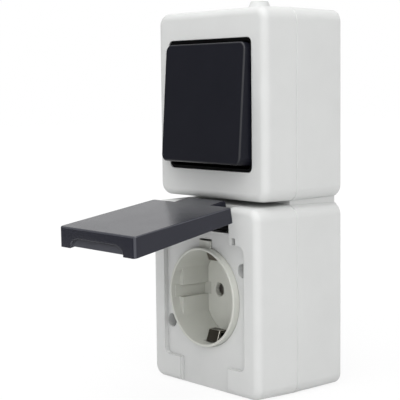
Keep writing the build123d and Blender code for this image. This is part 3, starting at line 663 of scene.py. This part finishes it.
def notch(side, depth):
    """The outline of what lies between the corners of the two boxes, beside the neck, at a depth."""
    radius = box_corner - (seam_depth - depth) * box_draft + hair
    centre = (box_half - box_corner, half_gap + box_corner)
    start, end = [-degrees(acos((x - centre[0]) / radius)) for x in (neck_half, notch_side)]
    upper = arc(centre, (radius, radius), start, end)
    upper.append((box_half + overshoot, upper[-1][1]))
    return [(side * x, z) for x, z in upper] + [(side * x, -z) for x, z in reversed(upper)]


back_box = blank("back_box")
notch_front = seam_depth + neck_lip + overshoot
for side in (-1, 1):
    at_wall, at_front = notch(side, -overshoot), notch(side, notch_front)
    cut(back_box, prism(at_wall, -overshoot, notch_front, "depth", at_front))
lip_half, lip_height = box_half + overshoot, half_gap - hair
lip = rectangle((-lip_half, -lip_height), (lip_half, lip_height))
cut(back_box, prism(lip, seam_depth - hair, notch_front, "depth"))
stands_for(back_box, "back_box", "housing")

# %% [markdown]
# Moulded plastic is never one flat colour. A spark-eroded mould leaves a fine grain all over, the pigment
# clouds a little, and the edges get a colour of their own: wear on the pale inner pieces, painted shade on
# the boxes and painted highlights on the dark pieces. That colour could be painted on an image, but that
# would fit one mesh alone. The Bevel node rounds each sharp edge by a fraction of a millimetre, as a mould
# does, and where its normal leaves the flat one lies an edge. So it places the edge colour as well, on any
# piece.

# %% Moulded plastics
cloud_scale, cloud_contrast = 70.0, 1.6
fleck_scale, grain_strength = 1400.0, 0.35
edge_gain, edge_everywhere, edge_in_clouds = 6.0, 0.4, 0.8
rough_flecks, rough_clouds, smooth_wear = 0.10, 0.08, 0.10


def noise(place, scale, detail):
    """A cloudy pattern between nothing and one."""
    return place.nodes.add("TexNoise", {}, {"Vector": place, "Scale": scale, "Detail": detail})


def mix(factor, first, second):
    """A colour between two others."""
    return factor.nodes.add("Mix", {"data_type": "RGBA"}, {"Factor": factor, "A": first, "B": second})


def rounded_normal(nodes, radius):
    """The normal of a surface whose sharp edges are rounded by a radius in mm."""
    return nodes.add("Bevel", {"samples": 6}, {"Radius": radius * millimetre})


def edges_by(rounded):
    """How far a rounded normal leaves the flat one: nothing except along the edges."""
    flat = rounded.nodes.add("NewGeometry", {}, {}, "Normal")
    product = {"operation": "DOT_PRODUCT"}
    return 1 - rounded.nodes.add("VectorMath", product, {0: rounded, 1: flat}, "Value")


def moulded(name, colour, cloudy, edge_colour, roughness, grain_size, grain_depth, edge, gloss):
    """A plastic: its colour, the clouding in it, an edge colour for wear, painted shade and painted
    highlights, roughness, grain and edge radius in mm.
    """
    material, nodes = new_material(name)
    place = nodes.add("TexCoord", {}, {}, "Object")
    clouds = noise(place, cloud_scale, detail=4.0)
    flecks = noise(place, fleck_scale, detail=2.0)
    grain = noise(place, 1 / (grain_size * millimetre), detail=2.0)
    rounded = rounded_normal(nodes, edge)
    # Along the edges the colour turns to the edge colour: wear on the pale inner pieces, painted shade on
    # the boxes and painted highlights on the dark pieces.
    wear_and_painted_light = (edges_by(rounded) * edge_gain).clamped() * (edge_everywhere + edge_in_clouds * clouds)
    body = mix((0.5 + cloud_contrast * (clouds - 0.5)).clamped(), colour, cloudy)
    body = mix(wear_and_painted_light, body, edge_colour)
    finish = roughness + rough_flecks * (flecks - 0.5) + rough_clouds * (clouds - 0.5) - smooth_wear * wear_and_painted_light
    bumps = nodes.add("Bump", {}, {"Strength": grain_strength, "Distance": grain_depth * millimetre,
                                   "Height": grain, "Normal": rounded})
    plastic = nodes.add("BsdfPrincipled", {}, {"Base Color": body, "Roughness": finish, "Normal": bumps,
                                               "Specular IOR Level": gloss})
    nodes.add("OutputMaterial", {}, {"Surface": plastic})
    return material


# The boxes' edge colour is darker: painted shade, which draws the seams as dark lines and darkens the outer
# edges too.
housing_plastic = moulded("housing_plastic", linear(214, 215, 214), linear(209, 210, 209),
                          linear(176, 177, 176),
                          roughness=0.52, grain_size=0.22, grain_depth=0.03, edge=0.25, gloss=0.4)
print(housing_plastic.name, "has", len(housing_plastic.node_tree.nodes), "nodes")

# %% [markdown]
# The boxes are light grey, and their edges and seams are painted a little darker, as painted shade. The
# socket's insert is a shade yellower, and its floor, a piece of its own, is painted paler than its wall,
# as painted light. The carriers inside are off-white. One finish for them all would make them look like a
# single casting, so each has its own from the same function.

# %% The pale plastics
def dress(material, *names):
    """Gives pieces their finish."""
    for name in names:
        slots = pieces[name].data.materials
        slots.clear()
        slots.append(material)
    print(material.name, "on", ", ".join(names))


dress(housing_plastic, "back_box", "switch_cover", "socket_cover")
dress(moulded("pot_plastic", linear(206, 207, 200), linear(200, 201, 194), linear(214, 214, 209),
              roughness=0.42, grain_size=0.25, grain_depth=0.02, edge=0.2, gloss=0.4), "socket_pot")
# Painted light: the pot's floor gets a paler copy of the pot's plastic, as if more light reached it than
# its wall.
dress(moulded("pot_floor_painted_light", linear(222, 223, 216), linear(217, 218, 211), linear(226, 226, 221),
              roughness=0.42, grain_size=0.25, grain_depth=0.02, edge=0.2, gloss=0.4), "pin_plate")
dress(moulded("carrier_plastic", linear(226, 223, 214), linear(220, 216, 206), linear(232, 230, 222),
              roughness=0.45, grain_size=0.30, grain_depth=0.02, edge=0.2, gloss=0.4),
      "switch_base", "socket_base", "rocker_cradle", "plunger")

# %% [markdown]
# The rocker and its bezel are dark, so most of what they show is reflection, and a low gloss keeps the
# bright studio out of them. Their edge colours are paler, as painted highlights, and the rocker's rounded
# edges get a painted highlight of their own. The Bevel node doesn't find those, because they are round
# already. So the piece is turned straight, and the faces that lie between its main directions get that
# painted highlight as their finish.

# %% The dark plastics
edge_facing = 0.955


def finish_faces(name, material, chosen):
    """Gives some faces of a piece a finish of their own."""
    mesh = pieces[name].data
    mesh.materials.append(material)
    faces = [face for face in mesh.polygons if chosen(face)]
    for face in faces:
        face.material_index = len(mesh.materials) - 1
    print(material.name, "on", len(faces), "faces of", name)


def between_directions(turn, frontal):
    """Picks faces that, turned straight, face no main direction, but the room by at least a share."""
    straight = turn.to_3x3()

    def chosen(face):
        way = straight @ face.normal
        return max(abs(part) for part in way) < edge_facing and -way.y >= frontal
    return chosen


# The edge colours of the rocker and the bezel are paler: painted highlights along their edges.
dress(moulded("rocker_plastic", linear(24, 25, 33), linear(21, 22, 30), linear(84, 85, 91),
              roughness=0.42, grain_size=0.20, grain_depth=0.03, edge=0.3, gloss=0.15), "rocker")
# Painted highlight: the faces of the rocker's rounded edges get a paler plastic of their own.
rocker_highlight_plastic = moulded("rocker_edge", linear(42, 43, 47), linear(38, 39, 43), linear(84, 85, 90),
                              roughness=0.35, grain_size=0.20, grain_depth=0.02, edge=0.2, gloss=0.30)
finish_faces("rocker", rocker_highlight_plastic, between_directions(tilting.inverted(), frontal=0.2))
dress(moulded("bezel_plastic", linear(9, 9, 10), linear(7, 7, 8), linear(26, 26, 27),
              roughness=0.50, grain_size=0.20, grain_depth=0.03, edge=0.2, gloss=0.06), "switch_frame")

# %% [markdown]
# The lid is dark grey and glossier than the rocker, with paler edges as well, which are painted highlights.
# The barrel of its hinge lies deep in its cavity, and its shade is painted on it: a black finish that
# hardly mirrors anything. It could be a piece of its own, but it is moulded with the lid. So the faces
# whose corners all lie within the barrel's radius of the hinge get that painted shade as their finish.

# %% The lid's plastic, its painted highlights and the painted shade on its barrel
# The lid's edge colour is paler: painted highlights along its edges.
dress(moulded("lid_plastic", linear(34, 35, 45), linear(30, 31, 41), linear(92, 93, 99),
              roughness=0.24, grain_size=0.20, grain_depth=0.03, edge=0.3, gloss=0.32), "lid")
# Painted highlight: the faces of the lid's rounded edges get a paler plastic of their own.
lid_highlight_plastic = moulded("lid_painted_highlight", linear(70, 71, 78), linear(64, 65, 72), linear(110, 111, 117),
                           roughness=0.30, grain_size=0.20, grain_depth=0.02, edge=0.2, gloss=0.35)
finish_faces("lid", lid_highlight_plastic, between_directions(shutting, frontal=-1.0))

barrel_reach = (barrel_radius + hair) * millimetre
barrel_corners = {vertex.index for vertex in lid.data.vertices
                  if (vertex.co - hinge).yz.length < barrel_reach}
# Painted shade: the barrel is painted black for the shade in the hinge's cavity.
barrel_painted_shade = moulded("barrel_painted_shade", linear(6, 6, 7), linear(4, 4, 5), linear(9, 9, 10),
                      roughness=0.60, grain_size=0.20, grain_depth=0.02, edge=0.2, gloss=0.03)
finish_faces("lid", barrel_painted_shade, lambda face: barrel_corners.issuperset(face.vertices))

# %% [markdown]
# The cable entry and the gaskets are soft. Rubber could be a plain rough grey, but real rubber has a dull
# bloom, with patches where it has been rubbed clean. So its roughness varies slowly, and its colour fades
# a little where it is dull.

# %% Rubbers
bloom_scale, rough_bloom = 260.0, 0.15
skin_scale, skin_depth, skin_strength = 3200.0, 0.03, 0.4
rubber_edge, rubber_gloss = 0.3, 0.3


def rubber(name, colour, bloom, roughness):
    """A soft matt moulding with a pale bloom in patches."""
    material, nodes = new_material(name)
    place = nodes.add("TexCoord", {}, {}, "Object")
    patches = noise(place, bloom_scale, detail=3.0)
    skin = noise(place, skin_scale, detail=2.0)
    bumps = nodes.add("Bump", {}, {"Strength": skin_strength, "Distance": skin_depth * millimetre,
                                   "Height": skin, "Normal": rounded_normal(nodes, rubber_edge)})
    soft = nodes.add("BsdfPrincipled", {}, {"Base Color": mix(patches, colour, bloom),
                                            "Roughness": roughness + rough_bloom * (patches - 0.5),
                                            "Specular IOR Level": rubber_gloss, "Normal": bumps})
    nodes.add("OutputMaterial", {}, {"Surface": soft})
    return material


dress(rubber("grommet_rubber", linear(206, 207, 206), linear(214, 215, 214), roughness=0.65),
      "cable_grommet")
dress(rubber("seal_rubber", linear(30, 30, 30), linear(44, 44, 44), roughness=0.7),
      "switch_cover_seal", "socket_cover_seal", "lid_seal")

# %% [markdown]
# The metal pieces are stamped, drawn or turned, which leaves fine lines along the metal. An image of such
# lines would blur close by, but a noise that is stretched in one direction stays sharp at any size. The
# surface dulls in patches, and bends and edges are paler: metal rubbed by a plug, and a painted highlight
# as well, strongest on the earth strap.

# %% Metals
dull_scale, rough_dull = 300.0, 0.12
line_depth, line_strength, rough_lines = 0.01, 0.3, 0.08
bright_edge_gain = 8.0


def plated(name, colour, dull, bright, roughness, lines_in, edge=0.15):
    """A metal with fine lines, duller patches and paler edges, part rubbed and part painted highlight,
    rounded by a radius in mm.
    """
    material, nodes = new_material(name)
    place = nodes.add("TexCoord", {}, {}, "Object")
    drawn = nodes.add("Mapping", {}, {"Vector": place, "Scale": lines_in}, "Vector")
    lines = noise(drawn, 1.0, detail=2.0)
    patches = noise(place, dull_scale, detail=3.0)
    rounded = rounded_normal(nodes, edge)
    # Paler bends and edges: rubbed metal and a painted highlight.
    rubbed_and_highlit = (edges_by(rounded) * bright_edge_gain).clamped()
    body = mix(rubbed_and_highlit, mix(patches, colour, dull), bright)
    finish = roughness + rough_dull * (patches - 0.5) + rough_lines * lines
    bumps = nodes.add("Bump", {}, {"Strength": line_strength, "Distance": line_depth * millimetre,
                                   "Height": lines, "Normal": rounded})
    metal = nodes.add("BsdfPrincipled", {}, {"Base Color": body, "Metallic": 1.0, "Roughness": finish,
                                             "Normal": bumps})
    nodes.add("OutputMaterial", {}, {"Surface": metal})
    return material


across, along, turned = 6000.0, 300.0, 4000.0
strap_edge = 0.6
# The strap's bends and edges are painted nearly white: a painted highlight.
dress(plated("plated_strap", linear(84, 80, 72), linear(66, 62, 55), linear(226, 222, 212),
             roughness=0.30, lines_in=(across, along, along), edge=strap_edge), "earth_strap")

# %% [markdown]
# The other metals lie inside or deep in holes. They could all share the strap's finish, but brass, zinc
# and steel differ in colour, and rolled strip, turned screws and drawn wire in the way their lines run.
# So each gets its own colours and its own stretch of the noise.

# %% Contacts, screws and pins
dress(plated("stamped_brass", linear(214, 178, 108), linear(190, 152, 88), linear(226, 194, 128),
             roughness=0.30, lines_in=(across, across, along)),
      "contact_bridge", "upper_contact", "lower_contact", "common_contact", "live_contact",
      "neutral_contact")
dress(plated("zinc_screws", linear(200, 200, 200), linear(168, 168, 170), linear(216, 216, 216),
             roughness=0.32, lines_in=(turned, turned, turned)),
      "switch_terminal_screws", "switch_base_screws", "switch_cover_screws", "socket_terminal_screws",
      "socket_base_screws", "socket_cover_screws")
dress(plated("drawn_steel", linear(190, 190, 192), linear(160, 160, 163), linear(206, 206, 208),
             roughness=0.25, lines_in=(along, across, across)), "plunger_spring", "hinge_pin")

# %% [markdown] That is the whole scene: the solids, the pieces drawn anew, their finishes, the studio and the camera.
